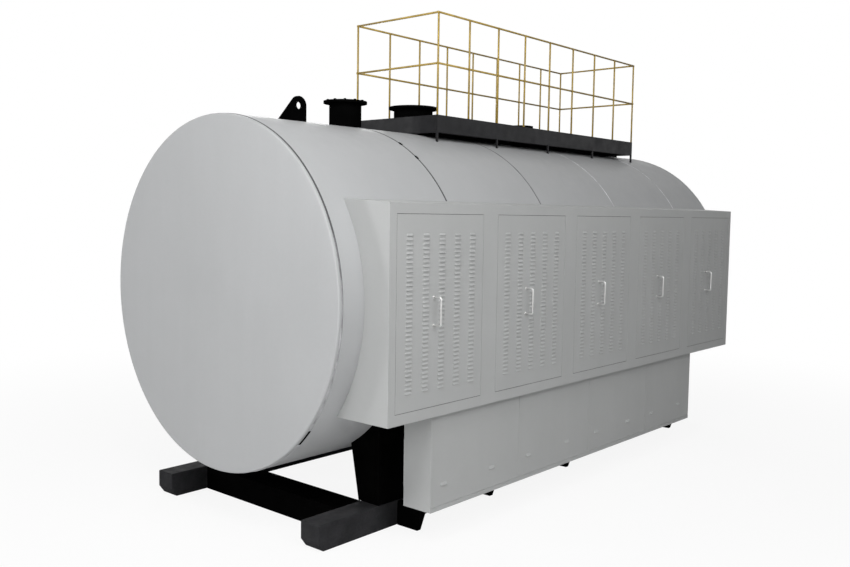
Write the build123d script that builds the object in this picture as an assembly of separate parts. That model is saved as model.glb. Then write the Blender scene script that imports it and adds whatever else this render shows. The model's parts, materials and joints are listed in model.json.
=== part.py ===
"""Packaged horizontal boiler on a skid, with a side cabinet and a roof platform.

Lengths are in millimetres. The origin lies on the floor, under the drum's axis
and at the middle of its length. The front end faces -Y, the cabinet is on +X.
"""
from build123d import *
import os
from math import cos, radians, sin, sqrt

# Drum: insulated and clad, with a flat cover on each end
body_radius = 1600
body_length = 7250
floor_gap = 510
cladding_thickness = 100
cover_rim_depth = 50
cover_sheet = 6
cover_edge_radius = 5
sheet_pitch = 1550
bead_height = 3
bead_width = 14
seat_gap = 0.3
vent_slit_width = 12
vent_slit_from_deg = -47.5
vent_slit_to_deg = -40.5

# Side cabinet with its louvred lift-off panels
cabinet_front = 280
cabinet_rear = 370
cabinet_reach = 270
cabinet_drop = 950
cabinet_rise = 830
cabinet_sheet = 3
roof_fall_deg = 3.3
panel_count = 5
stile_width = 212
end_stile = 81
bottom_rail = 91
top_rail = 86
panel_gap = 4
panel_seat = 22

# Louvres: pressed hoods, open at their lower edge
louvre_columns = 5
louvre_rows = 36
louvre_length = 86
louvre_height = 18
louvre_depth = 7
louvre_row_pitch = 36.5
louvre_side = 108
louvre_rise = -5

# Pull handles, one on each panel between two columns of louvres
handle_length = 250
handle_reach = 80
handle_diameter = 16
handle_column = 2

# Skirt box under the cabinet
skirt_front = 885
skirt_rear = 1335
skirt_setback = 60
skirt_width = 310
skirt_clearance = 310
skirt_sheet = 3
skirt_panel_count = 4
skirt_end_cut = 110
skirt_sill = 37
skirt_gap = 3
skirt_seat = 20
grip_length = 70
grip_height = 22
grip_depth = 6
grip_rise = 215
grip_near = 170
grip_far = 420

# Skid
beam_face = 1195
beam_width = 230
beam_height = 235
beam_setback = 170
nose_run = 57
nose_rise = 77
cross_width = 300
cross_setback = 590
outrigger_shares = [0.157, 0.3305, 0.5292, 0.8862]
outrigger_front_reach = 245
outrigger_reach = 118
outrigger_thickness = 50
outrigger_slant = 75
outrigger_top = 225

# Saddle brackets between the skid and the drum
saddle_length = 330
saddle_top_width = 425
saddle_foot_width = 255
saddle_gap = 60

# Lifting lugs on the crown
lug_thickness = 30
lug_hole_radius = 35
lug_head_radius = 90
lug_hole_height = 162
lug_foot = 369
lug_front_setback = 691
lug_rear_setback = 81

# Roof platform
platform_front = 2330
platform_rear = 760
bay_count = 8
platform_half_width = 595
platform_beam_height = 175
platform_sink = 15
channel_flange = 60
channel_sheet = 8
deck_sheet = 5
deck_hole_gap = 15
strut_width = 20
strut_every = 2

# Handrail
rail_height = 1050
rail_diameter = 21.3

# Nozzles on the crown: pipe and flange to the usual low-pressure sizes
nozzles = {
    "nozzle_front": dict(setback=1590, height=262, pipe=325, flange=440, circle=395, holes=12, hole=22),
    "nozzle_middle": dict(setback=2620, height=300, pipe=426, flange=540, circle=495, holes=16, hole=22),
    "nozzle_rear": dict(setback=4660, height=265, pipe=219, flange=320, circle=280, holes=8, hole=18),
}
flange_thickness = 24
pipe_wall = 8
pipe_inner_end = 20

# Places worked out from the sizes above
front = -body_length / 2
rear = body_length / 2
axis_height = floor_gap + body_radius
crown = axis_height + body_radius
drum_axis = Axis((0, 0, axis_height), (0, 1, 0))

cabinet_start = front + cabinet_front
cabinet_end = rear - cabinet_rear
cabinet_face = body_radius + cabinet_reach
cabinet_bottom = axis_height - cabinet_drop
cabinet_top = axis_height + cabinet_rise
frame_length = cabinet_end - cabinet_start - 2 * end_stile - (panel_count - 1) * stile_width
panel_width = frame_length / panel_count - 2 * panel_gap
panel_pitch = frame_length / panel_count + stile_width
first_panel = cabinet_start + end_stile + frame_length / panel_count / 2
panel_centres = [first_panel + number * panel_pitch for number in range(panel_count)]
opening_bottom = cabinet_bottom + bottom_rail
opening_top = cabinet_top - top_rail
panel_bottom = opening_bottom + panel_gap
panel_height = opening_top - opening_bottom - 2 * panel_gap
louvre_column_pitch = (panel_width - 2 * louvre_side - louvre_length) / (louvre_columns - 1)
handle_place = (handle_column - louvre_columns / 2) * louvre_column_pitch

skirt_start = front + skirt_front
skirt_end = rear - skirt_rear
skirt_face = cabinet_face - skirt_setback
skirt_inner = skirt_face - skirt_width
skirt_bottom = skirt_clearance
skirt_panel_pitch = (skirt_end - skirt_start + skirt_end_cut) / skirt_panel_count

platform_start = front + platform_front
platform_end_y = rear - platform_rear
platform_base = crown - platform_sink
deck_bottom = platform_base + platform_beam_height
deck_top = deck_bottom + deck_sheet

seam_places = []
seam = front + cover_rim_depth + sheet_pitch
while seam < rear - cover_rim_depth:
    seam_places.append(seam)
    seam += sheet_pitch


def block(x0, x1, y0, y1, z0, z1):
    """A box between two corners."""
    return Pos((x0 + x1) / 2, (y0 + y1) / 2, (z0 + z1) / 2) * Box(x1 - x0, y1 - y0, z1 - z0)


def turned(points):
    """A ring turned about the drum's axis from (length, radius) points."""
    outline = [(y, axis_height + r) for y, r in points]
    return revolve(make_face(Plane.YZ * Polyline(*outline, close=True)), drum_axis, 360)


def profile_along_y(points, y0, y1):
    """A closed (x, z) outline carried from y0 to y1."""
    face = make_face(Plane.XZ * Polyline(*points, close=True))
    return Pos(0, y0, 0) * extrude(face, y1 - y0, dir=(0, 1, 0))


def profile_along_x(points, x0, x1):
    """A closed (y, z) outline carried from x0 to x1."""
    face = make_face(Plane.YZ * Polyline(*points, close=True))
    return Pos(x0, 0, 0) * extrude(face, x1 - x0, dir=(1, 0, 0))


def drum_envelope():
    """The drum with its beads and a seating gap, cut out of what stands against it."""
    radius = body_radius + seat_gap
    envelope = turned([(front - 1, 0), (front - 1, radius), (rear + 1, radius), (rear + 1, 0)])
    margin = 3
    for place in seam_places:
        ring = turned([
            (place - margin, body_radius / 2),
            (place - margin, radius + bead_height),
            (place + bead_width + margin, radius + bead_height),
            (place + bead_width + margin, body_radius / 2),
        ])
        envelope += ring
    return envelope


def end_cover(face_y, inward):
    """A shallow pan: a flat disc with a rim that laps back to the cladding."""
    back = face_y + inward * cover_rim_depth
    inner = body_radius - cover_sheet
    return turned([
        (face_y, 0),
        (face_y, body_radius - cover_edge_radius),
        (face_y + inward * cover_edge_radius, body_radius),
        (back, body_radius),
        (back, inner),
        (face_y + inward * cover_sheet, inner),
        (face_y + inward * cover_sheet, 0),
    ])


def vent_slit():
    """The short slit in the front cover's rim, low on the cabinet's side."""
    back = front + cover_rim_depth
    outline = turned([
        (back - vent_slit_width, body_radius - 2 * cover_sheet),
        (back - vent_slit_width, body_radius + 1),
        (back + 1, body_radius + 1),
        (back + 1, body_radius - 2 * cover_sheet),
    ])
    reach = 2 * body_radius
    corners = [(0, axis_height)]
    for angle in (vent_slit_from_deg, vent_slit_to_deg):
        corners.append((reach * cos(radians(angle)), axis_height + reach * sin(radians(angle))))
    wedge = profile_along_y(corners, front, back + 1)
    return outline & wedge


def cladding_band(start, end, beaded):
    """One insulated ring of the drum, with a raised bead along its front edge."""
    inner = body_radius - cladding_thickness
    points = [(start, inner), (start, body_radius)]
    if beaded:
        crest = body_radius + bead_height
        points = [(start, inner), (start, crest), (start + bead_width - bead_height, crest)]
        points.append((start + bead_width, body_radius))
    return turned(points + [(end, body_radius), (end, inner)])


def cabinet_outline(top_drop=0, face=None):
    """The cabinet's cross-section: upright face, level floor and falling roof."""
    edge = cabinet_face if face is None else face
    inner = body_radius / 2
    fall = (cabinet_face - inner) * sin(radians(roof_fall_deg))
    return [
        (inner, cabinet_bottom + cabinet_sheet),
        (edge, cabinet_bottom + cabinet_sheet),
        (edge, cabinet_top - top_drop),
        (inner, cabinet_top - top_drop + fall),
    ]


def cabinet_roof(envelope):
    """The roof sheet, which falls outwards."""
    outer = cabinet_outline()
    under = cabinet_outline(top_drop=cabinet_sheet)
    points = [outer[3], outer[2], under[2], under[3]]
    return profile_along_y(points, cabinet_start, cabinet_end) - envelope


def cabinet_floor(envelope):
    """The floor sheet, coped to the drum."""
    sheet = block(
        body_radius / 2, cabinet_face, cabinet_start, cabinet_end,
        cabinet_bottom, cabinet_bottom + cabinet_sheet,
    )
    return sheet - envelope


def cabinet_end_plate(envelope, y0):
    """An end sheet of the cabinet, between floor and roof and behind the face frame."""
    points = cabinet_outline(top_drop=cabinet_sheet, face=cabinet_face - 2 * cabinet_sheet)
    fall = 2 * cabinet_sheet * sin(radians(roof_fall_deg))
    points[2] = (points[2][0], points[2][1] + fall)
    return profile_along_y(points, y0, y0 + cabinet_sheet) - envelope


def face_rail(z0, z1, seat_low, seat_high):
    """A horizontal strip of the face frame with the backing strip panels seat on."""
    middle = cabinet_face - cabinet_sheet
    back = middle - cabinet_sheet
    strip = block(middle, cabinet_face, cabinet_start, cabinet_end, z0, z1)
    backing = block(back, middle, cabinet_start, cabinet_end, z0 - seat_low, z1 + seat_high)
    return strip + backing


def face_stiles():
    """The upright strips between and beside the panels, each with its backing."""
    middle = cabinet_face - cabinet_sheet
    back = middle - cabinet_sheet
    opening = panel_width + 2 * panel_gap
    edges = [cabinet_start]
    for centre in panel_centres:
        edges += [centre - opening / 2, centre + opening / 2]
    edges.append(cabinet_end)
    reach = panel_gap + panel_seat
    stiles = []
    for index in range(0, len(edges), 2):
        y0, y1 = edges[index], edges[index + 1]
        low = y0 - reach if index > 0 else y0
        high = y1 + reach if index + 2 < len(edges) else y1
        strip = block(middle, cabinet_face, y0, y1, opening_bottom, opening_top)
        backing = block(back, middle, low, high, opening_bottom + reach, opening_top - reach)
        stiles.append(strip + backing)
    return stiles


def hood(length, height, depth):
    """A pressed hood on a face that looks along +X: sloping out to its lower edge."""
    return profile_along_y([(0, 0), (depth, 0), (0, height)], -length / 2, length / 2)


def louvre_panel():
    """One lift-off panel with its columns of pressed louvres, centred on y = 0."""
    sheet = block(
        cabinet_face - cabinet_sheet, cabinet_face,
        -panel_width / 2, panel_width / 2,
        panel_bottom, panel_bottom + panel_height,
    )
    field = (louvre_rows - 1) * louvre_row_pitch + louvre_height
    lowest = panel_bottom + (panel_height - field) / 2 + louvre_rise
    hoods = []
    for column in range(louvre_columns):
        y = (column - (louvre_columns - 1) / 2) * louvre_column_pitch
        for row in range(louvre_rows):
            z = lowest + row * louvre_row_pitch
            hoods.append(Pos(cabinet_face, y, z) * hood(louvre_length, louvre_height, louvre_depth))
    return sheet + hoods


def panel_handle():
    """A bent-rod pull handle between two columns of louvres, its feet on the panel's face."""
    middle = panel_bottom + panel_height / 2
    half = (handle_length - handle_diameter) / 2
    bend = handle_diameter * 1.5
    reach = cabinet_face + handle_reach
    path = Polyline(
        (cabinet_face, handle_place, middle - half),
        (reach - bend, handle_place, middle - half),
        (reach, handle_place, middle - half + bend),
        (reach, handle_place, middle + half - bend),
        (reach - bend, handle_place, middle + half),
        (cabinet_face, handle_place, middle + half),
    )
    section = RegularPolygon(handle_diameter / 2, 8, major_radius=False)
    section = Plane(origin=path @ 0, z_dir=path % 0) * section
    return sweep(section, path, transition=Transition.RIGHT)


def skirt_panel_edges():
    """Start and end of each skirt panel along the skirt; the last one is cut shorter."""
    starts = [skirt_start + number * skirt_panel_pitch for number in range(skirt_panel_count)]
    return list(zip(starts, starts[1:] + [skirt_end]))


def skirt_housing():
    """The skirt's box, open on its outer side, with sill, posts and head to seat panels."""
    start = skirt_start
    end = skirt_end
    seat_face = skirt_face - skirt_sheet
    outer = block(skirt_inner, seat_face, start, end, skirt_bottom, cabinet_bottom)
    hollow = block(
        skirt_inner + skirt_sheet, seat_face, start + skirt_sheet, end - skirt_sheet,
        skirt_bottom + skirt_sheet, cabinet_bottom - skirt_sheet,
    )
    housing = outer - hollow
    back = seat_face - skirt_sheet
    sill_top = skirt_bottom + skirt_sill
    housing += block(seat_face, skirt_face, start, end, skirt_bottom, sill_top)
    housing += block(back, seat_face, start, end, skirt_bottom, sill_top + skirt_seat)
    housing += block(back, seat_face, start, end, cabinet_bottom - skirt_seat, cabinet_bottom)
    for place, _ in skirt_panel_edges()[1:]:
        housing += block(
            back, seat_face, place - skirt_seat, place + skirt_seat, skirt_bottom, cabinet_bottom,
        )
    return housing


def skirt_panel(y0, y1):
    """A lift-off skirt panel with two pressed finger grips."""
    bottom = skirt_bottom + skirt_sill + skirt_gap
    panel = block(
        skirt_face - skirt_sheet, skirt_face,
        y0 + skirt_gap / 2, y1 - skirt_gap / 2, bottom, cabinet_bottom - skirt_gap,
    )
    for offset in (grip_near, skirt_panel_pitch - grip_far):
        grip = hood(grip_length, grip_height, grip_depth)
        panel += Pos(skirt_face, y0 + offset, skirt_bottom + grip_rise) * grip
    return panel


def skid_beam(inner, outer):
    """A long box beam with both noses cut up from below."""
    y0 = front + beam_setback
    y1 = rear - beam_setback
    points = [
        (y0 + nose_run, 0), (y1 - nose_run, 0), (y1, nose_rise),
        (y1, beam_height), (y0, beam_height), (y0, nose_rise),
    ]
    return profile_along_x(points, inner, outer)


def cross_beam(centre):
    """A box beam between the two long ones."""
    inner = beam_face - beam_width
    return block(-inner, inner, centre - cross_width / 2, centre + cross_width / 2, 0, beam_height)


def outrigger(y0, reach):
    """A bracket from the skid's outer face to under the skirt, its end cut back."""
    tip = beam_face + reach
    points = [
        (beam_face, 0), (tip, 0), (tip + outrigger_slant, outrigger_top), (beam_face, outrigger_top),
    ]
    return profile_along_y(points, y0, y0 + outrigger_thickness)


def saddle(envelope, y0, side):
    """A bracket on a skid beam, coped to the drum and wider at its head."""
    head = cabinet_bottom - saddle_gap
    points = [
        (side * beam_face, beam_height),
        (side * (beam_face - saddle_foot_width), beam_height),
        (side * (beam_face - saddle_top_width), head),
        (side * beam_face, head),
    ]
    return profile_along_y(points, y0, y0 + saddle_length) - envelope


def lifting_lug(envelope, foot_y, inward):
    """A plate on the crown: a round head over an upright edge and a sloping one."""
    head_y = foot_y + inward * (lug_foot - lug_head_radius)
    head_z = crown + lug_hole_height
    base = crown - lug_thickness
    rise = head_z - base
    run = lug_foot - lug_head_radius
    reach = sqrt(rise ** 2 + run ** 2)
    along = sqrt(reach ** 2 - lug_head_radius ** 2)
    tangent_run = (run * along - rise * lug_head_radius) * along / reach ** 2
    tangent_rise = (rise * along + run * lug_head_radius) * along / reach ** 2
    points = [
        (foot_y, base), (foot_y + inward * lug_foot, base),
        (foot_y + inward * lug_foot, head_z), (head_y, head_z),
        (foot_y + inward * tangent_run, base + tangent_rise),
    ]
    plate = profile_along_x(points, -lug_thickness / 2, lug_thickness / 2)
    across = Pos(0, head_y, head_z) * Rot(0, 90, 0)
    plate += across * Cylinder(lug_head_radius, lug_thickness)
    plate -= across * Cylinder(lug_hole_radius, 2 * lug_thickness)
    return plate - envelope


def nozzle(setback, height, pipe, flange, circle, holes, hole):
    """A flanged pipe that passes through the cladding into the drum, open at both ends."""
    y = front + setback
    base = crown - cladding_thickness - pipe_inner_end
    top = crown + height
    neck = Pos(0, y, (base + top) / 2) * Cylinder(pipe / 2, top - base)
    plate = Pos(0, y, top - flange_thickness / 2) * Cylinder(flange / 2, flange_thickness)
    bore = Pos(0, y, (base + top) / 2) * Cylinder(pipe / 2 - pipe_wall, top - base)
    bolt_holes = []
    for place in PolarLocations(circle / 2, holes, start_angle=180 / holes):
        bolt_holes.append(Pos(0, y, top) * place * Cylinder(hole / 2, 3 * flange_thickness))
    return neck + plate - bore - bolt_holes


def pipe_holes(y0, y1):
    """The holes through a stretch of the cladding for the nozzles' pipes."""
    cuts = []
    for size in nozzles.values():
        y = front + size["setback"]
        radius = size["pipe"] / 2 + seat_gap
        if y0 - radius < y < y1 + radius:
            cuts.append(Pos(0, y, crown) * Cylinder(radius, 4 * cladding_thickness))
    return cuts


def mitred(channel, face_x, toe_x, face_y, toe_y):
    """What of a channel lies in its own quarter of the platform's plan: the corners are mitred."""
    plan = [(face_x[0], face_y[0]), (face_x[1], face_y[1]), (toe_x[1], toe_y[1]), (toe_x[0], toe_y[0])]
    face = make_face(Plane.XY * Polyline(*plan, close=True))
    return channel & (Pos(0, 0, platform_base) * extrude(face, platform_beam_height, dir=(0, 0, 1)))


def platform_channel(side):
    """A side channel of the platform, its open side inwards."""
    face = side * platform_half_width
    toe = face - side * channel_flange
    web = face - side * channel_sheet
    low = platform_base
    high = deck_bottom
    points = [
        (face, low), (face, high), (toe, high), (toe, high - channel_sheet),
        (web, high - channel_sheet), (web, low + channel_sheet), (toe, low + channel_sheet), (toe, low),
    ]
    channel = profile_along_y(points, platform_start, platform_end_y)
    inner_start = platform_start + channel_flange
    inner_end = platform_end_y - channel_flange
    return mitred(channel, (face, face), (toe, toe), (platform_start, platform_end_y), (inner_start, inner_end))


def platform_end(envelope, face_y, inward):
    """An end channel, mitred to the side channels and coped over the crown."""
    reach = platform_half_width - channel_flange
    low = platform_base
    high = deck_bottom
    toe = face_y + inward * channel_flange
    web = face_y + inward * channel_sheet
    points = [
        (face_y, low), (face_y, high), (toe, high), (toe, high - channel_sheet),
        (web, high - channel_sheet), (web, low + channel_sheet), (toe, low + channel_sheet), (toe, low),
    ]
    channel = profile_along_x(points, -platform_half_width, platform_half_width)
    across = (-platform_half_width, platform_half_width)
    return mitred(channel, across, (-reach, reach), (face_y, face_y), (toe, toe)) - envelope


def platform_deck():
    """The deck plate on the channels, with a hole round each nozzle that comes up through it."""
    deck = block(
        -platform_half_width, platform_half_width, platform_start, platform_end_y, deck_bottom, deck_top,
    )
    for size in nozzles.values():
        y = front + size["setback"]
        radius = size["pipe"] / 2 + deck_hole_gap
        if platform_start - radius < y < platform_end_y + radius:
            deck -= Pos(0, y, deck_bottom) * Cylinder(radius, 4 * deck_sheet)
    return deck


def platform_struts(envelope):
    """Short legs under every second post, coped to the drum."""
    legs = []
    first = platform_start + strut_width / 2
    last = platform_end_y - strut_width / 2
    for post in range(0, bay_count + 1, strut_every):
        y = first + (last - first) * post / bay_count
        inner = platform_half_width - strut_width
        leg = block(
            inner, platform_half_width, y - strut_width / 2, y + strut_width / 2, axis_height, platform_base,
        )
        coped = leg - envelope
        legs += [coped, mirror(coped, about=Plane.YZ)]
    return legs


def bar(start, end, diameter):
    """An eight-sided bar from one point to another."""
    line = Line(start, end)
    plane = Plane(origin=start, z_dir=line % 0)
    section = plane * Rot(0, 0, 22.5) * RegularPolygon(diameter / 2, 8, major_radius=False)
    return extrude(section, line.length)


def side_handrail(side):
    """Posts, top rail and knee rail along one side of the platform."""
    x = side * (platform_half_width - rail_diameter / 2)
    y0 = platform_start + rail_diameter / 2
    y1 = platform_end_y - rail_diameter / 2
    pitch = (y1 - y0) / bay_count
    top = deck_top + rail_height - rail_diameter / 2
    bars = []
    for post in range(bay_count + 1):
        y = y0 + post * pitch
        bars.append(bar((x, y, deck_top), (x, y, top + rail_diameter / 2), rail_diameter))
    for z in (top, deck_top + rail_height / 2):
        bars.append(bar((x, y0, z), (x, y1, z), rail_diameter))
    return bars[0] + bars[1:]


def end_handrail(y):
    """The top and knee rails across one end, between the corner posts."""
    x = platform_half_width - rail_diameter
    top = deck_top + rail_height - rail_diameter / 2
    return [bar((-x, y, z), (x, y, z), rail_diameter) for z in (top, deck_top + rail_height / 2)]


def build_pieces():
    """Every piece of the boiler by name."""
    envelope = drum_envelope()
    pieces = {
        "front_cover": end_cover(front, 1) - vent_slit(),
        "rear_cover": end_cover(rear, -1),
    }
    edges = [front + cover_rim_depth] + seam_places + [rear - cover_rim_depth]
    for number, (start, end) in enumerate(zip(edges, edges[1:]), 1):
        band = cladding_band(start, end, number > 1)
        pieces[f"cladding_band_{number}"] = band - pipe_holes(start, end)

    pieces["cabinet_roof"] = cabinet_roof(envelope)
    pieces["cabinet_floor"] = cabinet_floor(envelope)
    pieces["cabinet_front_end"] = cabinet_end_plate(envelope, cabinet_start)
    pieces["cabinet_rear_end"] = cabinet_end_plate(envelope, cabinet_end - cabinet_sheet)
    reach = panel_gap + panel_seat
    pieces["cabinet_bottom_rail"] = face_rail(cabinet_bottom + cabinet_sheet, opening_bottom, 0, reach)
    pieces["cabinet_top_rail"] = face_rail(opening_top, cabinet_top - cabinet_sheet, reach, 0)
    pieces["cabinet_stiles"] = face_stiles()
    panel = louvre_panel()
    handle = panel_handle()
    handles = []
    for number, centre in enumerate(panel_centres, 1):
        pieces[f"louvre_panel_{number}"] = Pos(0, centre, 0) * panel
        handles.append(Pos(0, centre, 0) * handle)
    pieces["panel_handles"] = handles

    pieces["skirt_housing"] = skirt_housing()
    for number, (y0, y1) in enumerate(skirt_panel_edges(), 1):
        pieces[f"skirt_panel_{number}"] = skirt_panel(y0, y1)

    inner = beam_face - beam_width
    pieces["skid_beam_left"] = skid_beam(-beam_face, -inner)
    pieces["skid_beam_right"] = skid_beam(inner, beam_face)
    cross_reach = front + cross_setback + cross_width / 2
    pieces["cross_beams"] = [cross_beam(centre) for centre in (cross_reach, 0, -cross_reach)]
    pieces["outriggers"] = [
        outrigger(front + share * body_length, outrigger_reach if number else outrigger_front_reach)
        for number, share in enumerate(outrigger_shares)
    ]
    saddle_start = front + cross_setback + cross_width
    pieces["saddles"] = [
        saddle(envelope, y0, side)
        for y0 in (saddle_start, -saddle_start - saddle_length)
        for side in (-1, 1)
    ]

    pieces["lifting_lug_front"] = lifting_lug(envelope, front + lug_front_setback, 1)
    pieces["lifting_lug_rear"] = lifting_lug(envelope, rear - lug_rear_setback, -1)
    for name, size in nozzles.items():
        pieces[name] = nozzle(**size)

    pieces["platform_beam_left"] = platform_channel(-1)
    pieces["platform_beam_right"] = platform_channel(1)
    pieces["platform_end_front"] = platform_end(envelope, platform_start, 1)
    pieces["platform_end_rear"] = platform_end(envelope, platform_end_y, -1)
    pieces["platform_deck"] = platform_deck()
    pieces["platform_struts"] = platform_struts(envelope)
    pieces["handrail_left"] = side_handrail(-1)
    pieces["handrail_right"] = side_handrail(1)
    pieces["handrail_front"] = end_handrail(platform_start + rail_diameter / 2)
    pieces["handrail_rear"] = end_handrail(platform_end_y - rail_diameter / 2)
    return pieces


os.makedirs("parts", exist_ok=True)
for name, shape in build_pieces().items():
    solids = shape if isinstance(shape, list) else [shape]
    body = Compound(children=[solid for item in solids for solid in item.solids()])
    export_step(body, f"parts/{name}.step")
    print(name, len(body.solids()))
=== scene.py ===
# %% [markdown]
# # A packaged boiler, dressed for the camera
#
# The solids of this boiler come from its CAD source. They have every real size, but plain surfaces. This
# lesson gives them the rest: pressed louvres, round handrails, bolts, seams and painted finishes.
# Everything is in metres. The drum lies along Y with its front end at -Y, the cabinet is on +X, and the
# floor is z = 0.

# %% Load the solids
import json
import math

import bmesh
import bpy
import numpy as np
from mathutils import Matrix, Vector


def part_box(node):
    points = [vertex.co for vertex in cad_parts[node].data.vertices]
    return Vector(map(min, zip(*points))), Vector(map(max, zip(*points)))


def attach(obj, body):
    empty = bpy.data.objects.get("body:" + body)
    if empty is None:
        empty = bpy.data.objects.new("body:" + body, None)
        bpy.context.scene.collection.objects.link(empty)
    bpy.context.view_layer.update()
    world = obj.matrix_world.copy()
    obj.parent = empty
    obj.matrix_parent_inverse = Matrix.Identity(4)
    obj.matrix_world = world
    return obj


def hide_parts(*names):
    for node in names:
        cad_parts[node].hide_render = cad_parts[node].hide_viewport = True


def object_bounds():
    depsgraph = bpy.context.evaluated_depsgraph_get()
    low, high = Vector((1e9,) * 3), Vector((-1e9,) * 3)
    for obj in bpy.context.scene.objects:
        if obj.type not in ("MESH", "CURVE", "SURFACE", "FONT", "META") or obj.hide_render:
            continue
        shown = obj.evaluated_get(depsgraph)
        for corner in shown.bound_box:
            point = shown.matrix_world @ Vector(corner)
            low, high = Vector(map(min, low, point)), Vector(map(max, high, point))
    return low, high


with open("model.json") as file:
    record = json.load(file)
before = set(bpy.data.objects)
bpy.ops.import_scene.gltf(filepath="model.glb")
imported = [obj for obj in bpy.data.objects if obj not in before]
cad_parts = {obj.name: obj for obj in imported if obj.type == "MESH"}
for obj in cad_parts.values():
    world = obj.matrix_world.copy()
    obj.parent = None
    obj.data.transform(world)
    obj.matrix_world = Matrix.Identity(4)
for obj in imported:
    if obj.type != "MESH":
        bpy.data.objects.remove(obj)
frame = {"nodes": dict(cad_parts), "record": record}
nodes = frame["nodes"]
solid_box = [[float(value) for value in corner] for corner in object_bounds()]
print(len(nodes), "solids, lowest and highest corner", solid_box)

# %% [markdown]
# ## The camera
#
# A perspective camera is fixed by its place, the way it looks and its lens. The three directions below were
# fitted to the picture: its right, its up and the way it looks. A camera looks along its own -Z, so the
# third column of its matrix is the looking direction turned round.

# %% Camera
camera_place = (6.622, -8.391, 2.853)
camera_right = (0.7541, 0.6566, 0.0142)
camera_up = (-0.0617, 0.0494, 0.9969)
camera_forward = (-0.6538, 0.7526, -0.0778)
lens_mm = 37.83

lens = bpy.data.cameras.new("photo_lens")
lens.sensor_fit = "HORIZONTAL"
lens.sensor_width = 36.0
lens.lens = lens_mm
lens.clip_end = 200.0
camera = bpy.data.objects.new("photo_camera", lens)
bpy.context.scene.collection.objects.link(camera)
columns = [camera_right, camera_up, [-value for value in camera_forward]]
turn = Matrix([[column[row] for column in columns] for row in range(3)]).to_4x4()
camera.matrix_world = Matrix.Translation(camera_place) @ turn
bpy.context.scene.camera = camera
print("camera at", camera_place, "with a lens of", lens_mm, "mm")

# %% [markdown]
# ## Places that the solids give
#
# A dressed piece has to sit where its solid is, so its sizes are read from the solids' boxes instead of
# being written a second time. Only what a box can't say, such as the number of louvres, is a value here.

# %% Measure the solids
def box_of(node):
    """The lowest and the highest corner of a solid's box, as arrays."""
    low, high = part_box(node)
    return np.array(low, dtype=float), np.array(high, dtype=float)


low, high = box_of("rear_cover")
drum_radius = float(high[2] - low[2]) / 2
axis_height = float(high[2] + low[2]) / 2
front_end = solid_box[0][1]
rear_end = solid_box[1][1]
rim_depth = float(box_of("front_cover")[1][1]) - front_end
seams = [float(box_of(f"cladding_band_{number}")[0][1]) for number in (2, 3, 4, 5)]
deck_top = float(box_of("platform_deck")[1][2])
panel_face = float(box_of("cabinet_stiles")[1][0])
panels = [f"louvre_panel_{number}" for number in range(1, 6)]
sheet_thickness = 0.003
print("drum radius", round(drum_radius, 3), "axis height", round(axis_height, 3), "deck", round(deck_top, 3))

# %% [markdown]
# ## Meshes from arrays
#
# A surface is a grid of points, worked out all at once as an array. Four neighbours make one face. The
# helpers below turn points and corner numbers into a mesh, number the faces of a grid, carry a circle along
# a path to make a tube, and turn an outline about the drum's axis. Blender's own shapes could give some of
# this too, but an array says exactly where each point lies, and makes thousands of them in one step.

# %% Helpers for arrays
def mesh_from(name, points, *groups, smooth=True, slots=None):
    """One mesh from points and groups of faces; a group's rows are the corner numbers of its faces."""
    corners = np.concatenate([group.ravel() for group in groups]).astype(np.int32)
    sizes = np.concatenate([np.full(len(group), group.shape[1]) for group in groups])
    starts = np.concatenate([[0], np.cumsum(sizes)[:-1]]).astype(np.int32)
    mesh = bpy.data.meshes.new(name)
    mesh.vertices.add(len(points))
    mesh.vertices.foreach_set("co", np.asarray(points, dtype=np.float32).ravel())
    mesh.loops.add(len(corners))
    mesh.loops.foreach_set("vertex_index", corners)
    mesh.polygons.add(len(starts))
    mesh.polygons.foreach_set("loop_start", starts)
    mesh.polygons.foreach_set("use_smooth", np.full(len(starts), smooth))
    if slots is not None:
        mesh.polygons.foreach_set("material_index", np.asarray(slots, dtype=np.int32))
    mesh.update(calc_edges=True)
    return mesh


def grid_faces(rows, columns, close_rows=False, close_columns=False):
    """The faces of a grid: point (i, j) with the next ones at i + 1 and j + 1, wrapped round where closed."""
    i, j = np.meshgrid(
        np.arange(rows if close_rows else rows - 1),
        np.arange(columns if close_columns else columns - 1),
        indexing="ij",
    )
    next_i, next_j = (i + 1) % rows, (j + 1) % columns
    corners = [i * columns + j, i * columns + next_j, next_i * columns + next_j, next_i * columns + j]
    return np.stack(corners, axis=-1).reshape(-1, 4)


def copies(points, groups, places):
    """One small shape at many places: its points plus each place, its corner numbers moved on to match."""
    count = len(points)
    shift = (np.arange(len(places)) * count)[:, None, None]
    moved = (np.asarray(points)[None] + np.asarray(places)[:, None]).reshape(-1, 3)
    return moved, [(group[None] + shift).reshape(-1, group.shape[1]) for group in groups]


def joined(shapes):
    """Several (points, groups) shapes as one: corner numbers move on by the points before them."""
    points, groups, before = [], [], 0
    for part_points, part_groups in shapes:
        points.append(part_points)
        groups += [group + before for group in part_groups]
        before += len(part_points)
    return np.concatenate(points), groups


def outward(mesh):
    """Turns the faces of a closed mesh to point outwards."""
    shape = bmesh.new()
    shape.from_mesh(mesh)
    bmesh.ops.recalc_face_normals(shape, faces=shape.faces)
    shape.to_mesh(mesh)
    shape.free()
    return mesh


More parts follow.
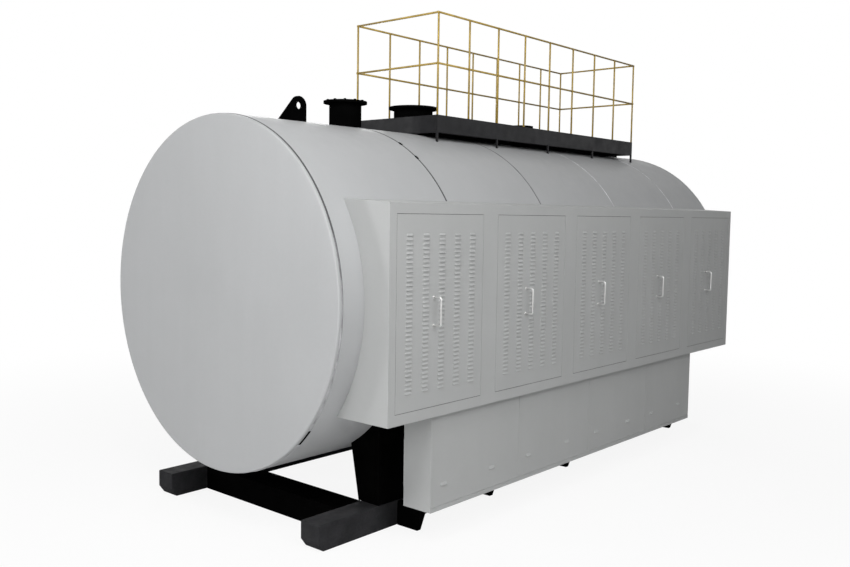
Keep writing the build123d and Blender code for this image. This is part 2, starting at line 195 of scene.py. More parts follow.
def tube(path, radius, normal, sides=16):
    """A circle carried along a flat path: centre + r * (cos a * normal + sin a * (direction x normal))."""
    path = np.asarray(path, dtype=float)
    along = np.gradient(path, axis=0)
    along /= np.linalg.norm(along, axis=1, keepdims=True)
    normal = np.asarray(normal, dtype=float)
    across = np.cross(along, normal)
    angle = np.linspace(0, 2 * np.pi, sides, endpoint=False)[None, :, None]
    rings = path[:, None] + radius * (np.cos(angle) * normal + np.sin(angle) * across[:, None])
    rows = len(path)
    ends = np.array([np.arange(sides)[::-1], (rows - 1) * sides + np.arange(sides)])
    return rings.reshape(-1, 3), [grid_faces(rows, sides, close_columns=True), ends]


def turned_round_drum(profile, angle):
    """A (y, radius) outline at each angle a about the drum's axis: x = r cos a, z = axis height + r sin a."""
    y, radius = np.asarray(profile, dtype=float).T
    x = radius * np.cos(angle[:, None])
    z = axis_height + radius * np.sin(angle[:, None])
    return np.stack([x, np.broadcast_to(y, x.shape), z], axis=-1).reshape(-1, 3)


def ring_round_drum(profile, sides=256):
    """A closed outline turned the whole way round the drum."""
    points = turned_round_drum(profile, np.linspace(0, 2 * np.pi, sides, endpoint=False))
    return points, [grid_faces(sides, len(profile), close_rows=True, close_columns=True)]


def arc_round_drum(profile, start, stop, sides=256):
    """The same outline turned only from one angle to another, with a flat cap at both ends."""
    points = turned_round_drum(profile, np.linspace(start, stop, sides))
    outline = np.arange(len(profile))
    caps = np.array([outline[::-1], (sides - 1) * len(profile) + outline])
    return points, [grid_faces(sides, len(profile), close_columns=True), caps]


def piece(name, mesh, materials, replaces=()):
    """Puts a mesh in the scene as a piece of the boiler."""
    item = bpy.data.objects.new(name, mesh)
    bpy.context.scene.collection.objects.link(item)
    for material in materials:
        mesh.materials.append(material)
    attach(item, "root")
    if replaces:
        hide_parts(*replaces)
    print(name, len(mesh.polygons), "faces")
    return item


def closed_piece(name, shapes, material, replaces=(), smooth=True):
    """Joins closed shapes into one mesh with its faces outwards, and puts it in the scene as a piece."""
    points, groups = joined(shapes)
    mesh = outward(mesh_from(name, points, *groups, smooth=smooth))
    return piece(name, mesh, [material], replaces)


print("helpers ready")

# %% [markdown]
# ## Paint
#
# The boiler is painted sheet and painted steel. Up close such paint isn't one flat colour: it has a faint
# orange-peel texture from the spray gun, patches that are a little lighter or darker, and rain streaks on
# upright faces. Pictures of paint could be wrapped round the boiler, but they blur close up and show seams.
# So each of these is a noise pattern on the object's own coordinates, at its real scale, and the finish
# stays put from every side.

# %% A finish made of nodes
def combined(tree, operation, first, second):
    """Two values joined by a math node, such as their product or the larger of them."""
    made = tree.nodes.new("ShaderNodeMath")
    made.operation = operation
    tree.links.new(first, made.inputs[0])
    tree.links.new(second, made.inputs[1])
    return made.outputs["Value"]


class Finish:
    """A painted or plated surface, built up node by node."""

    def __init__(self, name, color, roughness, metallic=0.0):
        self.material = bpy.data.materials.new(name)
        self.material.use_nodes = True
        self.tree = self.material.node_tree
        self.shader = self.tree.nodes["Principled BSDF"]
        self.shader.inputs["Metallic"].default_value = metallic
        self.place = self.node("ShaderNodeTexCoord").outputs["Object"]
        self.color = color
        self.roughness = roughness
        self.shade = None

    def node(self, kind, **values):
        """A new node of this kind, with its settings."""
        made = self.tree.nodes.new(kind)
        for key, value in values.items():
            setattr(made, key, value)
        return made

    def noise(self, scale, detail=3.0, stretch=(1.0, 1.0, 1.0)):
        """A noise pattern; stretch squeezes it along an axis, for streaks."""
        mapping = self.node("ShaderNodeMapping")
        mapping.inputs["Scale"].default_value = stretch
        self.tree.links.new(self.place, mapping.inputs["Vector"])
        made = self.node("ShaderNodeTexNoise")
        made.inputs["Scale"].default_value = scale
        made.inputs["Detail"].default_value = detail
        self.tree.links.new(mapping.outputs["Vector"], made.inputs["Vector"])
        return made.outputs["Fac"]

    def spread(self, source, low, high):
        """A pattern's middle range carried to the range from low to high."""
        made = self.node("ShaderNodeMapRange")
        made.inputs["From Min"].default_value = 0.3
        made.inputs["From Max"].default_value = 0.7
        made.inputs["To Min"].default_value = low
        made.inputs["To Max"].default_value = high
        self.tree.links.new(source, made.inputs["Value"])
        return made.outputs["Result"]

    def shade_by(self, factor):
        """Multiplies the colour by one more pattern."""
        earlier = self.shade
        self.shade = factor if earlier is None else combined(self.tree, "MULTIPLY", earlier, factor)

    def vary(self, source, amount):
        """Makes the colour up to this share lighter and darker with a pattern."""
        self.shade_by(self.spread(source, 1 - amount, 1 + amount))

    def along(self, axis, low, high, before, after):
        """A soft step along an axis: one value before its low end and another after its high end."""
        parts = self.node("ShaderNodeSeparateXYZ")
        self.tree.links.new(self.place, parts.inputs["Vector"])
        made = self.node("ShaderNodeMapRange", interpolation_type="SMOOTHSTEP")
        made.inputs["From Min"].default_value = low
        made.inputs["From Max"].default_value = high
        made.inputs["To Min"].default_value = before
        made.inputs["To Max"].default_value = after
        self.tree.links.new(parts.outputs[axis], made.inputs["Value"])
        return made.outputs["Result"]

    def lighten(self, first, second):
        """Multiplies the colour by the larger of two patterns."""
        self.shade_by(combined(self.tree, "MAXIMUM", first, second))

    def bump(self, source, height, strength=1.0):
        """Raises the surface by a pattern, height in metres."""
        made = self.node("ShaderNodeBump")
        made.inputs["Distance"].default_value = height
        made.inputs["Strength"].default_value = strength
        self.tree.links.new(source, made.inputs["Height"])
        if self.shader.inputs["Normal"].is_linked:
            earlier = self.shader.inputs["Normal"].links[0].from_socket
            self.tree.links.new(earlier, made.inputs["Normal"])
        self.tree.links.new(made.outputs["Normal"], self.shader.inputs["Normal"])

    def finish(self, rough_spread=0.06, rough_scale=9.0):
        """Joins colour times shade, and a varied roughness, to the shader and gives the material."""
        paint = self.node("ShaderNodeRGB")
        paint.outputs["Color"].default_value = (*self.color, 1.0)
        scaled = self.node("ShaderNodeVectorMath", operation="SCALE")
        self.tree.links.new(paint.outputs["Color"], scaled.inputs["Vector"])
        self.tree.links.new(self.shade, scaled.inputs["Scale"])
        self.tree.links.new(scaled.outputs["Vector"], self.shader.inputs["Base Color"])
        lowest, highest = self.roughness - rough_spread, self.roughness + rough_spread
        rough = self.spread(self.noise(rough_scale), lowest, highest)
        self.tree.links.new(rough, self.shader.inputs["Roughness"])
        return self.material


def sheet_paint(name, color, roughness, shine=0.08):
    """Sprayed sheet: orange peel of about 2 mm, broad cloudy patches and faint upright streaks."""
    paint = Finish(name, color, roughness)
    paint.shader.inputs["Specular IOR Level"].default_value = shine
    paint.vary(paint.noise(1.3, detail=4.0), 0.018)
    paint.vary(paint.noise(5.0, detail=5.0, stretch=(1.0, 1.0, 0.12)), 0.012)
    paint.vary(paint.noise(60.0, detail=2.0), 0.008)
    paint.bump(paint.noise(420.0, detail=1.0), 0.00012, 0.5)
    paint.bump(paint.noise(2.2, detail=2.0), 0.0015, 0.25)
    return paint.finish()


def steel_paint(name, color, roughness, shine=0.5):
    """Brushed-on or dipped paint over rough steel: a coarser peel, mill marks and dusty lighter patches."""
    paint = Finish(name, color, roughness)
    paint.shader.inputs["Specular IOR Level"].default_value = shine
    paint.vary(paint.noise(7.0, detail=6.0), 0.20)
    paint.vary(paint.noise(90.0, detail=3.0), 0.12)
    paint.bump(paint.noise(180.0, detail=3.0), 0.0004, 0.6)
    return paint.finish(rough_spread=0.10)


cladding_paint = sheet_paint("cladding_satin", (0.435, 0.442, 0.448), 0.40)
cabinet_paint = sheet_paint("cabinet_satin", (0.425, 0.432, 0.430), 0.42)
skid_paint = steel_paint("skid_dark_grey", (0.030, 0.030, 0.032), 0.65, shine=0.02)
black_paint = steel_paint("bracket_black", (0.002, 0.002, 0.002), 0.70, shine=0.0)
platform_paint = steel_paint("platform_dark_grey", (0.016, 0.016, 0.0175), 0.50, shine=0.16)
rail_paint = steel_paint("rail_yellow", (0.41, 0.285, 0.065), 0.42, shine=0.3)
print("paints ready")

# %% [markdown]
# Four smaller finishes go with the paints. The handles are plated rod, drawn lengthwise, so their fine
# scratches run upright. The mouths of the louvres are painted dark as shade, because no light comes out of
# the cabinet. The dark grey strips in the gaps round the panels are painted shade. The seams between the
# cladding sheets are filled with a dark sealant whose tone carries painted light: nearly black high on the
# drum as the step's shadow, and paler low on the drum and towards its rear as a painted highlight.

# %% Smaller finishes
plating = Finish("handle_plated", (0.70, 0.70, 0.69), 0.32, metallic=0.6)
plating.vary(plating.noise(900.0, detail=2.0, stretch=(1.0, 1.0, 0.02)), 0.05)
plating.bump(plating.noise(900.0, detail=2.0, stretch=(1.0, 1.0, 0.02)), 0.00005, 0.4)
handle_metal = plating.finish()

# Painted shade: the louvres' mouths and the skirt's top strip are dark where no light reaches.
shadow = Finish("louvre_mouth", (0.035, 0.036, 0.037), 0.8)
shadow.vary(shadow.noise(30.0), 0.2)
mouth_dark = shadow.finish()

# Painted shade: the dark strip in the gaps round the panels.
gap_shade = Finish("gap_shade_paint", (0.070, 0.071, 0.072), 0.7)
gap_shade.vary(gap_shade.noise(14.0), 0.35)
gap_shade_paint = gap_shade.finish()

# Dark sealant with painted light: nearly black high on the drum as the step's shadow, paler low and towards
# the rear as a painted highlight.
sealant_and_painted_light = Finish("sealant_with_painted_light", (0.060, 0.060, 0.062), 0.6)
sealant_and_painted_light.vary(sealant_and_painted_light.noise(9.0, detail=4.0), 0.35)
# These two steps paint the light: lighter below z = 1.9 and lighter still towards the rear.
sealant_and_painted_light.lighten(
    sealant_and_painted_light.along("Z", low=1.9, high=2.9, before=6.5, after=1.0),
    sealant_and_painted_light.along("Y", low=-1.2, high=1.5, before=1.0, after=11.5),
)
sealant_and_painted_light.bump(sealant_and_painted_light.noise(160.0), 0.0006, 0.6)
sealant_with_painted_light = sealant_and_painted_light.finish()

print("smaller finishes ready")

# %% [markdown]
# The solids that already have the right shape only get their paint. Each keeps its mesh, because building
# it a second time would only risk a wrong size.

# %% Paint the solids
paint_of_slot = {
    "cladding": cladding_paint,
    "cabinet_paint": cabinet_paint,
    "handle_metal": handle_metal,
    "skid_paint": skid_paint,
    "platform_paint": platform_paint,
    "rail_paint": rail_paint,
}
deep_black = ("saddles", "cross_beams", "outriggers", "lifting_lug", "nozzle")
slot_of_node = {row["node"]: row["material_slot"] for row in frame["record"]["subparts"]}
for name, item in nodes.items():
    paint = black_paint if name.startswith(deep_black) else paint_of_slot[slot_of_node[name]]
    for index in range(len(item.material_slots)):
        item.material_slots[index].material = paint
print("painted", len(slot_of_node), "solids")

# %% [markdown]
# ## Edges that catch the light
#
# No real steel has knife-sharp edges: folded sheet has a bend radius, and hollow sections are rolled round
# at their corners. A Bevel modifier on a copy of the solid gives that line of light along each edge. Each
# edge could be rounded by hand, but the modifier treats all of them alike. The copy's loose triangles are
# first merged into whole faces, so that the bevel sees only real edges.

# %% Rounded copies
def rounded_copy(node, material, width, segments=2):
    """A copy of a solid with its edges rounded; it replaces the solid."""
    mesh = nodes[node].data.copy()
    shape = bmesh.new()
    shape.from_mesh(mesh)
    bmesh.ops.remove_doubles(shape, verts=shape.verts, dist=0.00002)
    bmesh.ops.dissolve_limit(shape, angle_limit=math.radians(1.0), verts=shape.verts, edges=shape.edges)
    bmesh.ops.recalc_face_normals(shape, faces=shape.faces)
    for face in shape.faces:
        face.smooth = False
    shape.to_mesh(mesh)
    shape.free()
    mesh.materials.clear()
    item = piece(node + "_rounded", mesh, [material], [node])
    bevel = item.modifiers.new("edge", "BEVEL")
    bevel.width = width
    bevel.segments = segments
    bevel.limit_method = "ANGLE"
    bevel.angle_limit = math.radians(40.0)
    bevel.use_clamp_overlap = True
    bevel.harden_normals = True
    return item


for node in ("skid_beam_left", "skid_beam_right"):
    rounded_copy(node, skid_paint, 0.010, segments=3)
for node in ("cross_beams", "outriggers", "lifting_lug_front", "lifting_lug_rear"):
    rounded_copy(node, black_paint, 0.003)
for node in ("platform_beam_left", "platform_beam_right"):
    rounded_copy(node, platform_paint, 0.002)

# %% [markdown]
# ## Dished covers
#
# A cover is pressed from one sheet, so its face doesn't meet its rim in a sharp corner but in a knuckle, a
# quarter of an ellipse in (y, radius). A Bevel modifier could round the solid's corner too, but only to a
# circle. Here the outline is turned once about the drum's axis, and two flat round faces close its middle.

# %% Covers
cover_thickness, knuckle_depth, knuckle_width = 0.006, 0.014, 0.016
flat_margin = 0.04


def dished_cover(face_y, inward, sides=256):
    """A shallow dish whose face is at face_y; inward is +1 or -1, the way that its rim points."""
    turn = np.linspace(0, np.pi / 2, 9)
    depth = np.concatenate([
        [0.0], knuckle_depth * (1 - np.cos(turn)),
        [rim_depth, rim_depth, knuckle_depth + cover_thickness, cover_thickness, cover_thickness],
    ])
    flat_edge = drum_radius - knuckle_width
    inner = drum_radius - cover_thickness
    radius = np.concatenate([
        [flat_edge - flat_margin], drum_radius - knuckle_width * (1 - np.sin(turn)),
        [drum_radius, inner, inner, flat_edge, flat_edge - flat_margin],
    ])
    profile = np.column_stack([face_y + inward * depth, radius])
    points = turned_round_drum(profile, np.linspace(0, 2 * np.pi, sides, endpoint=False))
    first_of_ring = np.arange(sides) * len(profile)
    middles = np.array([first_of_ring, first_of_ring + len(profile) - 1])
    return points, [grid_faces(sides, len(profile), close_rows=True), middles]


for name, node, face_y, inward in (
    ("dished_front_cover", "front_cover", front_end, 1), ("dished_rear_cover", "rear_cover", rear_end, -1),
):
    shape = dished_cover(face_y, inward)
    is_turned = np.repeat([True, False], [len(group) for group in shape[1]])
    closed_piece(name, [shape], cladding_paint, [node], smooth=is_turned)

# %% [markdown]
# ## Pressed louvres
#
# A louvre is slit and pressed out of the sheet in one stroke: it starts flush at its top, bulges outwards
# on the way down and ends in a lip, with an open mouth below it. Its ends are drawn back into the sheet.
# One louvre is a small grid over (u, v), with u across and v down. The bulge is
# depth * (1.25 * v - 0.25 * v ** 2) * sqrt(1 - |u| ** 6). The grid is then repeated at all the places of a
# panel, which are another array. An Array modifier could repeat it too, but in this way a panel's louvres
# and its sheet are one mesh from the start.

# %% Louvre panels
louvre_columns, louvre_rows = 5, 36
louvre_length, louvre_height, louvre_depth = 0.086, 0.018, 0.0075
row_pitch, side_margin, field_rise = 0.0365, 0.108, -0.005
sunk = 0.0005


def louvre_shape(length, height, depth, across=8, down=4):
    """One louvre round its own lower middle: its skin, its dark mouth and its hidden back."""
    u, v = np.meshgrid(np.linspace(-1, 1, across + 1), np.linspace(0, 1, down + 1), indexing="ij")
    bulge = (1.25 * v - 0.25 * v ** 2) * np.sqrt(np.clip(1 - np.abs(u) ** 6, 0, 1))
    narrowing = 1 - 0.10 * (1 - v) ** 2
    skin = np.stack([
        depth * bulge - sunk * (bulge < 1e-6), u * narrowing * length / 2, height * (1 - v),
    ], axis=-1)
    foot = skin[1:-1, -1].copy()
    foot[:, 0] = -sunk
    points = np.concatenate([skin.reshape(-1, 3), foot, [[-sunk, 0.0, height / 2]]])
    rows, columns = across + 1, down + 1
    lip = np.arange(rows) * columns + down
    base = np.concatenate([[lip[0]], rows * columns + np.arange(across - 1), [lip[-1]]])
    mouth_ends = np.array([[lip[0], base[1], lip[1]], [lip[-2], base[-2], lip[-1]]])
    mouth = np.stack([lip[1:-2], base[1:-2], base[2:-1], lip[2:-1]], axis=-1)
    top = np.arange(rows) * columns
    left = np.arange(columns)
    right = (rows - 1) * columns + np.arange(columns)
    edge = np.concatenate([top, right[1:], base[1:-1][::-1], left[::-1][:-1]])
    back = np.stack([np.full(len(edge), len(points) - 1), edge, np.roll(edge, -1)], axis=-1)
    return points, [grid_faces(rows, columns), mouth, mouth_ends, back]


def sheet_plate(low, high, corner=0.003, edge=0.001, arc=4):
    """A thin plate facing +X: a rounded rectangle at its back, near its front and, inset, at its front."""
    quarter = np.linspace(0, np.pi / 2, arc + 1)
    angle = np.concatenate([quarter + turn * np.pi / 2 for turn in range(4)])
    sign_y = np.repeat([1, -1, -1, 1], arc + 1)
    sign_z = np.repeat([1, 1, -1, -1], arc + 1)
    middle = (np.array(low) + np.array(high)) / 2
    half = (np.array(high) - np.array(low)) / 2

    def outline(x, inset):
        """The rounded rectangle at one x, drawn in by the inset."""
        y = middle[1] + sign_y * (half[1] - corner) + (corner - inset) * np.cos(angle)
        z = middle[2] + sign_z * (half[2] - corner) + (corner - inset) * np.sin(angle)
        return np.stack([np.full_like(y, x), y, z], axis=-1)

    rings = np.stack([outline(low[0], 0), outline(high[0] - edge, 0), outline(high[0], edge)])
    count = rings.shape[1]
    caps = np.array([np.arange(count)[::-1], 2 * count + np.arange(count)])
    return rings.reshape(-1, 3), [grid_faces(3, count, close_columns=True), caps]


def pressed_sheet(name, node, low, high, pressing, places):
    """A plate with one pressing at many places, its mouths dark; it replaces the solid."""
    plate = sheet_plate(low, high)
    points, groups = joined([plate, copies(*pressing, places)])
    is_mouth = [False] * len(plate[1]) + [False, True, True, False]
    slots = np.concatenate([np.full(len(group), int(dark)) for group, dark in zip(groups, is_mouth)])
    # Every face points outwards as it is written. A recalculation would turn some of the flat louvres over.
    mesh = mesh_from(name, points, *groups, smooth=False, slots=slots)
    return piece(name, mesh, [cabinet_paint, mouth_dark], [node])


louvre = louvre_shape(louvre_length, louvre_height, louvre_depth)
field = (louvre_rows - 1) * row_pitch + louvre_height


def column_pitch_of(low, high):
    """The distance between two columns of louvres on a panel with these corners."""
    return (high[1] - low[1] - 2 * side_margin - louvre_length) / (louvre_columns - 1)


for number, node in enumerate(panels, start=1):
    low, high = box_of(node)
    middle = (low + high) / 2
    lowest = low[2] + (high[2] - low[2] - field) / 2 + field_rise
    y = middle[1] + (np.arange(louvre_columns) - (louvre_columns - 1) / 2) * column_pitch_of(low, high)
    z = lowest + np.arange(louvre_rows) * row_pitch
    yy, zz = np.meshgrid(y, z, indexing="ij")
    places = np.stack([np.full(yy.size, panel_face), yy.ravel(), zz.ravel()], axis=-1)
    pressed_sheet(
        f"pressed_panel_{number}", node, (panel_face - sheet_thickness, low[1], low[2]),
        (panel_face, high[1], high[2]), louvre, places,
    )

# %% [markdown]
# In the narrow gap round each panel lies a flat dark strip, a little below the face: painted shade in the
# gap. It is one strip that runs round the panel's four corners, and it draws the thin dark line that the eye
# expects. A line in the paint could do that from afar, but a strip also holds close up.
# Along the panel's rear edge the strip is moved in under the panel, so the line is missing there.

# %% Gap shade strips
def strip_round(low, high, section):
    """A closed (x, distance outside the rectangle) outline, carried round the rectangle's four corners."""
    x, distance = np.asarray(section, dtype=float).T
    sign_y = np.array([1, -1, -1, 1])[:, None]
    sign_z = np.array([1, 1, -1, -1])[:, None]
    middle = (np.array(low) + np.array(high)) / 2
    half = (np.array(high) - np.array(low)) / 2
    points = np.stack([
        np.broadcast_to(x, (4, len(x))), middle[1] + sign_y * (half[1] + distance),
        middle[2] + sign_z * (half[2] + distance),
    ], axis=-1)
    return points.reshape(-1, 3), [grid_faces(4, len(x), close_rows=True, close_columns=True)]


# Painted shade: dark strips in the gaps, moved in under each panel at its rear edge.
gap_shade_recess, rear_tuck_under = 0.0016, np.array([0.0, 0.005, 0.0])
gap_shade_back, gap_shade_front = panel_face - sheet_thickness, panel_face - gap_shade_recess
gap_shade_section = [
    (gap_shade_back, 0.0002), (gap_shade_front, 0.0004), (gap_shade_front, 0.0036), (gap_shade_back, 0.0038),
]
boxes = [box_of(node) for node in panels]
shapes = [strip_round(low, high - rear_tuck_under, gap_shade_section) for low, high in boxes]
closed_piece("panel_gap_shade_strips", shapes, gap_shade_paint, smooth=False)

# %% [markdown]
# The skirt's panels are made in the same way. Each has two pressed finger grips, which are single larger
# louvres. A thin dark strip along the skirt's top edge is painted shadow under the cabinet's floor.

# %% Skirt panels
grip_length, grip_height, grip_depth = 0.090, 0.028, 0.012
grip_near, grip_far, grip_rise = 0.1685, 0.8635, 0.215
grip = louvre_shape(grip_length, grip_height, grip_depth, across=14, down=6)
skirt_low, skirt_high = box_of("skirt_housing")
skirt_face = float(skirt_high[0])
for number in range(1, 5):
    low, high = box_of(f"skirt_panel_{number}")
    places = np.array([
        (skirt_face, low[1] + offset, skirt_low[2] + grip_rise) for offset in (grip_near, grip_far)
    ])
    pressed_sheet(
        f"pressed_skirt_{number}", f"skirt_panel_{number}", (skirt_face - sheet_thickness, low[1], low[2]),
        (skirt_face, high[1], high[2]), grip, places,
    )


def block(low, high):
    """A box between two corners."""
    (x0, y0, z0), (x1, y1, z1) = low, high
    points = np.array([(x, y, z) for x in (x0, x1) for y in (y0, y1) for z in (z0, z1)], dtype=float)
    faces = np.array([(0, 1, 3, 2), (4, 6, 7, 5), (0, 4, 5, 1), (2, 3, 7, 6), (0, 2, 6, 4), (1, 5, 7, 3)])
    return points, [faces]


# Painted shadow: a thin dark strip along the top of the skirt, under the cabinet.
strip_height, strip_end_gap, strip_proud = 0.007, 0.004, 0.0012
strip_low = (skirt_face - 0.002, skirt_low[1] + strip_end_gap, skirt_high[2] - strip_height)
strip_high = (skirt_face + strip_proud, skirt_high[1] - strip_end_gap, skirt_high[2] - 0.0004)
closed_piece("skirt_shadow_strip", [block(strip_low, strip_high)], mouth_dark, smooth=False)

# %% [markdown]
# ## Pull handles
#
# Each handle is one rod with two bends. A curve with a round bevel could give it. Here a tube along a path
# does, because its faces can be counted beforehand: two straight legs, two quarter circles and the long
# grip. A thin washer sits under each foot.

# %% Handles
rod_radius, bend_radius, bend_steps = 0.008, 0.017, 6
handle_reach, handle_half = 0.080, 0.117
washer_radius, washer_thickness = 0.014, 0.003


def handle_path(y, z):
    """Leg, quarter circle, grip, quarter circle, leg, in the plane y = constant."""
    turn = np.linspace(0, np.pi / 2, bend_steps + 1)
    corner_x = panel_face + handle_reach - bend_radius
    corner_z = handle_half - bend_radius
    sine, cosine = bend_radius * np.sin(turn), bend_radius * np.cos(turn)
    lower_bend = np.stack([corner_x + sine, -corner_z - cosine], axis=-1)
    upper_bend = np.stack([corner_x + cosine, corner_z + sine], axis=-1)
    lower_foot, upper_foot = [[panel_face, -handle_half]], [[panel_face, handle_half]]
    flat = np.concatenate([lower_foot, lower_bend, upper_bend, upper_foot])
    return np.stack([flat[:, 0], np.full(len(flat), y), z + flat[:, 1]], axis=-1)


def washer(center, radius, thickness, sides=20):
    """A round plate facing +X: a short tube."""
    ends = np.array([[0.0, 0.0, 0.0], [thickness, 0.0, 0.0]]) + np.asarray(center)
    return tube(ends, radius, (0, 0, 1), sides)


handles = []
for node in panels:
    low, high = box_of(node)
    middle = (low + high) / 2
    y = middle[1] - column_pitch_of(low, high) / 2
    handles.append(tube(handle_path(y, middle[2]), rod_radius, (0, 1, 0), sides=14))
    for side in (-1, 1):
        foot = (panel_face, y, middle[2] + side * handle_half)
        handles.append(washer(foot, washer_radius, washer_thickness))
closed_piece("bent_rod_handles", handles, handle_metal, ["panel_handles"])

# %% [markdown]
# ## Handrail
#
# The rail is welded from thin round tube. The solids have eight flat sides. Smooth shading would leave
# their corners in the outline, so the same tubes are made again with more sides. A little weld bead runs
# round each joint, and round the foot of each post.

# %% Handrail tubes
bays, tube_sides, foot_weld_height = 8, 14, 0.008
end_low, end_high = box_of("handrail_front")
tube_radius = float(end_high[1] - end_low[1]) / 2
rail_low, rail_high = box_of("handrail_right")
post_y = np.linspace(rail_low[1] + tube_radius, rail_high[1] - tube_radius, bays + 1)
rail_x = float(rail_high[0]) - tube_radius
top_rail = float(rail_high[2]) - tube_radius
knee_rail = deck_top + (float(rail_high[2]) - deck_top) / 2


def weld(center, direction, radius=tube_radius, bead=0.003, sides=16, round_sides=8):
    """A thin torus round a tube: the tube's circle, widened by a small circle that is turned with it."""
    direction = np.asarray(direction, dtype=float)
    first = np.array([0.0, 0.0, 1.0]) if abs(direction[2]) < 0.5 else np.array([1.0, 0.0, 0.0])
    second = np.cross(direction, first)
    a = np.linspace(0, 2 * np.pi, sides, endpoint=False)[:, None, None]
    b = np.linspace(0, 2 * np.pi, round_sides, endpoint=False)[None, :, None]
    outwards = np.cos(a) * first + np.sin(a) * second
    points = np.asarray(center) + (radius + bead * np.cos(b)) * outwards + bead * np.sin(b) * direction
    return points.reshape(-1, 3), [grid_faces(sides, round_sides, close_rows=True, close_columns=True)]


for side, node in ((-1, "handrail_left"), (1, "handrail_right")):
    x = side * rail_x
    shapes = []
    for y in post_y:
        post = [(x, y, deck_top), (x, y, knee_rail), (x, y, top_rail)]
        shapes.append(tube(post, tube_radius, (1, 0, 0), tube_sides))
        shapes.append(weld((x, y, deck_top + foot_weld_height), (0, 0, 1)))
        shapes.append(weld((x, y, top_rail - tube_radius), (0, 0, 1)))
        shapes.append(weld((x, y - tube_radius, knee_rail), (0, 1, 0)))
        shapes.append(weld((x, y + tube_radius, knee_rail), (0, 1, 0)))
    for z in (top_rail, knee_rail):
        ends = [(x, rail_low[1], z), (x, 0.0, z), (x, rail_high[1], z)]
        shapes.append(tube(ends, tube_radius, (1, 0, 0), tube_sides))
    closed_piece(node + "_tubes", shapes, rail_paint, [node])

for y, node in ((post_y[0], "handrail_front"), (post_y[-1], "handrail_rear")):
    shapes = []
    for z in (top_rail, knee_rail):
        ends = [(-rail_x, y, z), (0.0, y, z), (rail_x, y, z)]
        shapes.append(tube(ends, tube_radius, (0, 1, 0), tube_sides))
        for side in (-1, 1):
            shapes.append(weld((side * (rail_x - tube_radius), y, z), (1, 0, 0)))
    closed_piece(node + "_tubes", shapes, rail_paint, [node])

# %% [markdown]
# ## Bolts
#
# A hexagon bolt head is three hexagons above each other: the seat, the shoulder and, a little smaller, the
# chamfered top. The front nozzle is closed off for transport, so its flange carries its ring of bolts.

# %% Bolts
def hexagon(radius, height):
    """A bolt head: six corners at angle k * 60 degrees, three times, the last time at 0.88 of the radius."""
    angle = np.arange(6) * np.pi / 3
    levels = ((1.0, 0.0), (1.0, 0.8 * height), (0.88, height))
    rings = [
        np.stack([scale * radius * np.cos(angle), scale * radius * np.sin(angle), np.full(6, z)], axis=-1)
        for scale, z in levels
    ]
    caps = np.array([np.arange(6)[::-1], 12 + np.arange(6)])
    return np.concatenate(rings), [grid_faces(3, 6, close_columns=True), caps]


bolt_circle, bolt_count = 0.1975, 12
head_radius, head_height = 0.014, 0.009
low, high = box_of("nozzle_front")
angle = (np.arange(bolt_count) + 0.5) * 2 * np.pi / bolt_count
bolt_x, bolt_y = bolt_circle * np.cos(angle), (low[1] + high[1]) / 2 + bolt_circle * np.sin(angle)
places = np.stack([bolt_x, bolt_y, np.full(bolt_count, high[2])], axis=-1)
heads = copies(*hexagon(head_radius, head_height), places)
closed_piece("front_flange_bolts", [heads], black_paint, smooth=False)

# %% [markdown]
# ## Seams of the cladding
#
# The drum's cladding is five rings of sheet. Each ring laps the next with a raised bead, and the gap in
# front of the bead is filled with dark sealant, whose tone also carries painted light: nearly black high on
# the drum as the step's shadow, paler low on the drum and towards its rear as a painted highlight. At both
# ends the cover's rim is sealed in the same way and ends in a small folded edge. Each is a small outline in
# (y, radius) turned about the drum's axis. Low on the cabinet's side the front cover has a short slit. The
# bead and the fold stop there, and a black strip fills it as painted shade. Over the first seam two toggle
# clips pull the rings together.

# %% Seams
seam_width, seam_height, rim_seam_width = 0.018, 0.0015, 0.020
fold_half, fold_height = 0.008, 0.0035
below_sheet = drum_radius - 0.002


def sealant(y, width):
    """A flat bead of sealant from y - width to y, a little proud of the sheet."""
    return [
        (y, below_sheet), (y, drum_radius + seam_height * 0.6), (y - width / 2, drum_radius + seam_height),
        (y - width, drum_radius + 0.0002), (y - width, below_sheet),
    ]


rim_seam = front_end + rim_depth
slit_from, slit_to = math.radians(-47.5), math.radians(-40.5)
past_slit = (slit_to, slit_from + 2 * math.pi)
# The sealant's tone paints the step's shadow and a highlight on the bead; it is set in its material.
shapes = [ring_round_drum(sealant(y, seam_width)) for y in seams]
shapes.append(arc_round_drum(sealant(rim_seam - 0.001, rim_seam_width), *past_slit))
closed_piece("seam_sealant_rings", shapes, sealant_with_painted_light)

fold_angle = np.linspace(0, np.pi, 7)
shapes = []
for y in (rim_seam + fold_half, rear_end - rim_depth - fold_half):
    fold_y = y + fold_half * np.cos(fold_angle)
    fold_radius = drum_radius + fold_height * np.sin(fold_angle)
    profile = list(zip(fold_y, fold_radius)) + [(y - fold_half, below_sheet), (y + fold_half, below_sheet)]
    shapes.append(arc_round_drum(profile, *past_slit) if y < 0 else ring_round_drum(profile))
closed_piece("cover_fold_rings", shapes, cladding_paint)

# Painted shade: a black strip fills the slit and a little of the sheet behind it, as the slit's dark mark.
slit_front, slit_back, slit_gap = rim_seam - 0.0115, rim_seam + 0.014, 0.0008
slit_shade_outline = [
    (slit_front, drum_radius - 0.003), (slit_front, drum_radius + 0.0008),
    (slit_back, drum_radius + 0.0016), (slit_back, below_sheet),
]
slit_shade = arc_round_drum(slit_shade_outline, slit_from + slit_gap, slit_to - slit_gap, sides=20)
closed_piece("slit_shade_fill", [slit_shade], black_paint, smooth=False)

